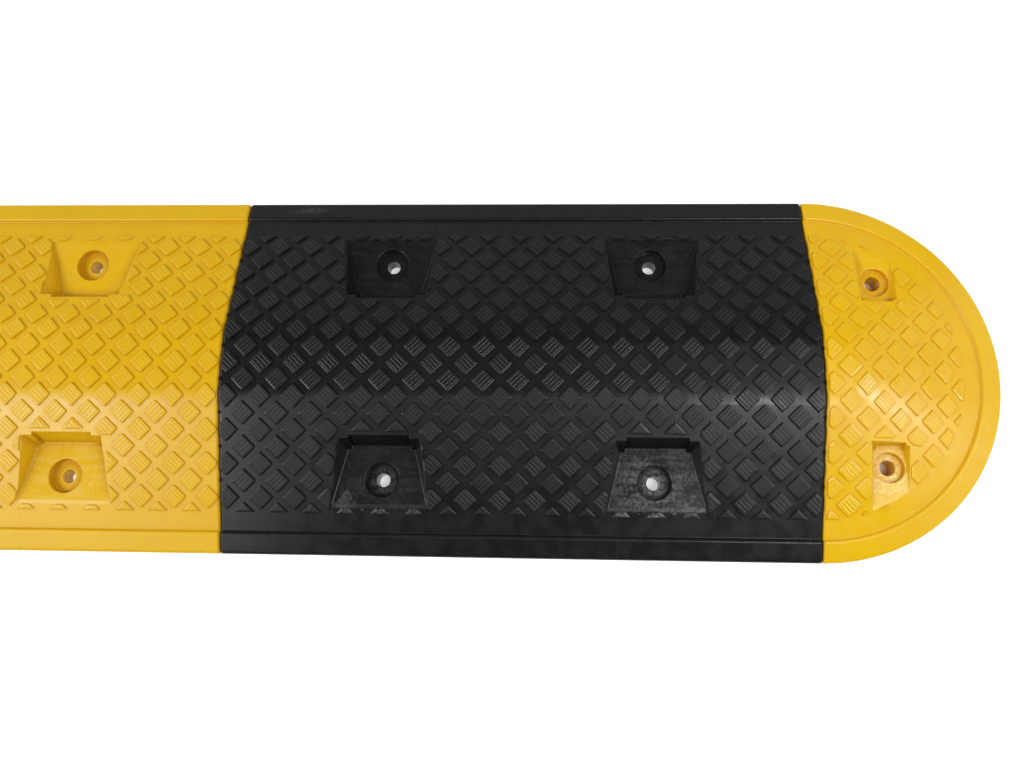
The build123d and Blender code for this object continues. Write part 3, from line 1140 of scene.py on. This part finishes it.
YELLOW_PVC = MouldedPvc(
    name="moulded_recycled_pvc_yellow",
    slot="yellow_pvc",
    colour="#E6B70D",
    flow_colour="#E2B209",
    chalk_and_light_colour="#EBC969",
    # Painted shade in the channels between studs and in pocket corners.
    painted_shade_colour="#D29C08",
    crevice_full=0.22,
    roughness=0.25,
    dull_roughness=0.32,
    tread_wear=0.02,
    specular=0.25,
    rib_highlight_share=0.0,
    edge_radius=0.9 * MM,
    floor_chalk=0.1,
    skin_chalk=0.03,
    skin_patches=(
        # Near pocket floor: chalk, and painted sheen that brightens the floor.
        Patch(mm(115, -95, 21.2), mm(70, 60, 1.5), 0.45),
        # Painted light: the bores of these two holes are painted pale, standing in for the lit floor seen
        # through them.
        Patch(mm(113.5, -95, 5), mm(12, 12, 13), 2.5, fade=0.3),
        Patch(mm(113.5, 95, 5), mm(12, 12, 13), 2.5, fade=0.3),
    ),
)
CAP_PVC = replace(
    YELLOW_PVC,
    name="moulded_recycled_pvc_light_yellow",
    colour="#ECBC0C",
    flow_colour="#E9B709",
    # Painted shade in the channels between studs and in pocket corners.
    painted_shade_colour="#DDA60A",
    crevice_full=0.3,
    # Pale colour of chalk, and of the painted sheen on the near pocket floor.
    chalk_and_light_colour="#F6DC8C",
    roughness=0.17,
    dull_roughness=0.28,
    specular=0.3,
    skin_patches=(
        # Near pocket floor and its counterbore floor: chalk, and painted sheen.
        Patch(mm(806, -86, 20.4), mm(26, 32, 1.5), 1.6),
        Patch(mm(806, -80, 16.2), mm(12, 12, 1.5), 1.6, fade=0.4),
    ),
)
BLACK_PVC = MouldedPvc(
    name="moulded_recycled_pvc_black",
    slot="black_pvc",
    colour="#131313",
    flow_colour="#171717",
    chalk_and_light_colour="#707274",
    # Painted shade in the channels between studs and in pocket corners.
    painted_shade_colour="#060606",
    roughness=0.23,
    dull_roughness=0.33,
    tread_wear=0.08,
    specular=0.32,
    # Rib backs painted paler: a painted highlight.
    rib_highlight_share=0.08,
    edge_radius=0.6 * MM,
    floor_chalk=0.04,
    skin_chalk=0.01,
    skin_patches=(
        Patch(mm(308, 149, 12.5), mm(32, 7, 5), 0.45),
        Patch(mm(613, -95, 21.2), mm(60, 50, 1.5), 0.8),
        Patch(mm(613.5, -95, 14.7), mm(13.5, 13.5, 1.5), 1.0, fade=0.4),
        Patch(mm(645, -117, 21.2), mm(11, 16, 2), 0.5, PatchShape.DIAMOND, 0.15),
        Patch(mm(387, -95, 21.2), mm(60, 50, 1.5), 0.08),
        Patch(mm(386.5, -95, 14.7), mm(13.5, 13.5, 1.5), 0.4, fade=0.4),
        Patch(mm(357, -117, 21.2), mm(11, 16, 2), 0.3, PatchShape.DIAMOND, 0.15),
    ),
    tread_patches=(
        Patch(mm(613, -121, 21), mm(55, 7, 9), 1.3),
        Patch(mm(387, -121, 21), mm(55, 7, 9), 0.8),
    ),
)
SECTION_POCKET = Pocket(
    floor_height=21.226 * MM,
    back=25.5 * MM,
    half_width=28.5 * MM,
    flare=0.25,
    bay_back=28.7 * MM,
    bay_half_width=25.7 * MM,
    bay_draft=math.radians(22.5),
)
CAP_POCKET = Pocket(
    floor_height=20.369 * MM,
    back=14 * MM,
    half_width=12 * MM,
    flare=0.09,
    bay_back=18.5 * MM,
    bay_half_width=11.4 * MM,
    bay_draft=math.radians(8),
)
# Shift of each tread's columns in pitches, its distance from the joints and its narrowest stud.
BLACK_PHASE = 0.0
BLACK_MARGIN = 0.8 * MM
BLACK_NARROWEST = 0.7 * MM
YELLOW_PHASE = -0.13
YELLOW_MARGIN = 0.8 * MM
YELLOW_NARROWEST = 3 * MM
CAP_PHASE = 0.19
CAP_MARGIN = 1.4 * MM
CAP_NARROWEST = 1.8 * MM
# Studs of the yellow mouldings, which are lower and rounder than the black ones.
WORN_HEIGHT = 1.15 * MM
WORN_WALL_LEAN = 0.85 * MM
WORN_EDGE_DROP = 0.22 * MM
WORN_RIB_HEIGHT = 0.17 * MM
WORN_RIB_HIP = 0.65 * MM


def mouldings() -> list[Moulding]:
    """The five mouldings of the ramp, from left to right."""
    profile, pattern = CrossSection(), StudPattern()
    worn = replace(
        pattern,
        height=WORN_HEIGHT,
        wall_lean=WORN_WALL_LEAN,
        edge_drop=WORN_EDGE_DROP,
        rib_height=WORN_RIB_HEIGHT,
        rib_hip=WORN_RIB_HIP,
    )
    cap = (CAP_PVC, CAP_PHASE, CAP_MARGIN, CAP_NARROWEST, profile, worn, CAP_POCKET)
    black = (BLACK_PVC, BLACK_PHASE, BLACK_MARGIN, BLACK_NARROWEST, profile, pattern, SECTION_POCKET)
    yellow = (YELLOW_PVC, YELLOW_PHASE, YELLOW_MARGIN, YELLOW_NARROWEST, profile, worn, SECTION_POCKET)
    return [
        EndCap("end_cap_left", *cap, side=Side.LEFT),
        StraightSection("black_section_left", *black),
        StraightSection("yellow_section_middle", *yellow),
        StraightSection("black_section_right", *black),
        EndCap("end_cap_right", *cap, side=Side.RIGHT),
    ]


def main() -> None:
    """Build the treads, dress every moulding and set up the studio; each tread logs its studs and faces."""
    logging.basicConfig(level=logging.INFO, format="%(name)s: %(message)s")
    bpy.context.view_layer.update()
    plastics = {
        finish: {piece: finish.material(piece) for piece in Piece}
        for finish in (YELLOW_PVC, CAP_PVC, BLACK_PVC)
    }
    for moulding in mouldings():
        tread = moulding.build()
        moulding.dress(tread, plastics[moulding.finish])
    studio = Studio()
    studio.floor()
    studio.light()
    studio.camera()
    bpy.context.scene.view_settings.view_transform = "Standard"


if __name__ == "__main__":
    main()
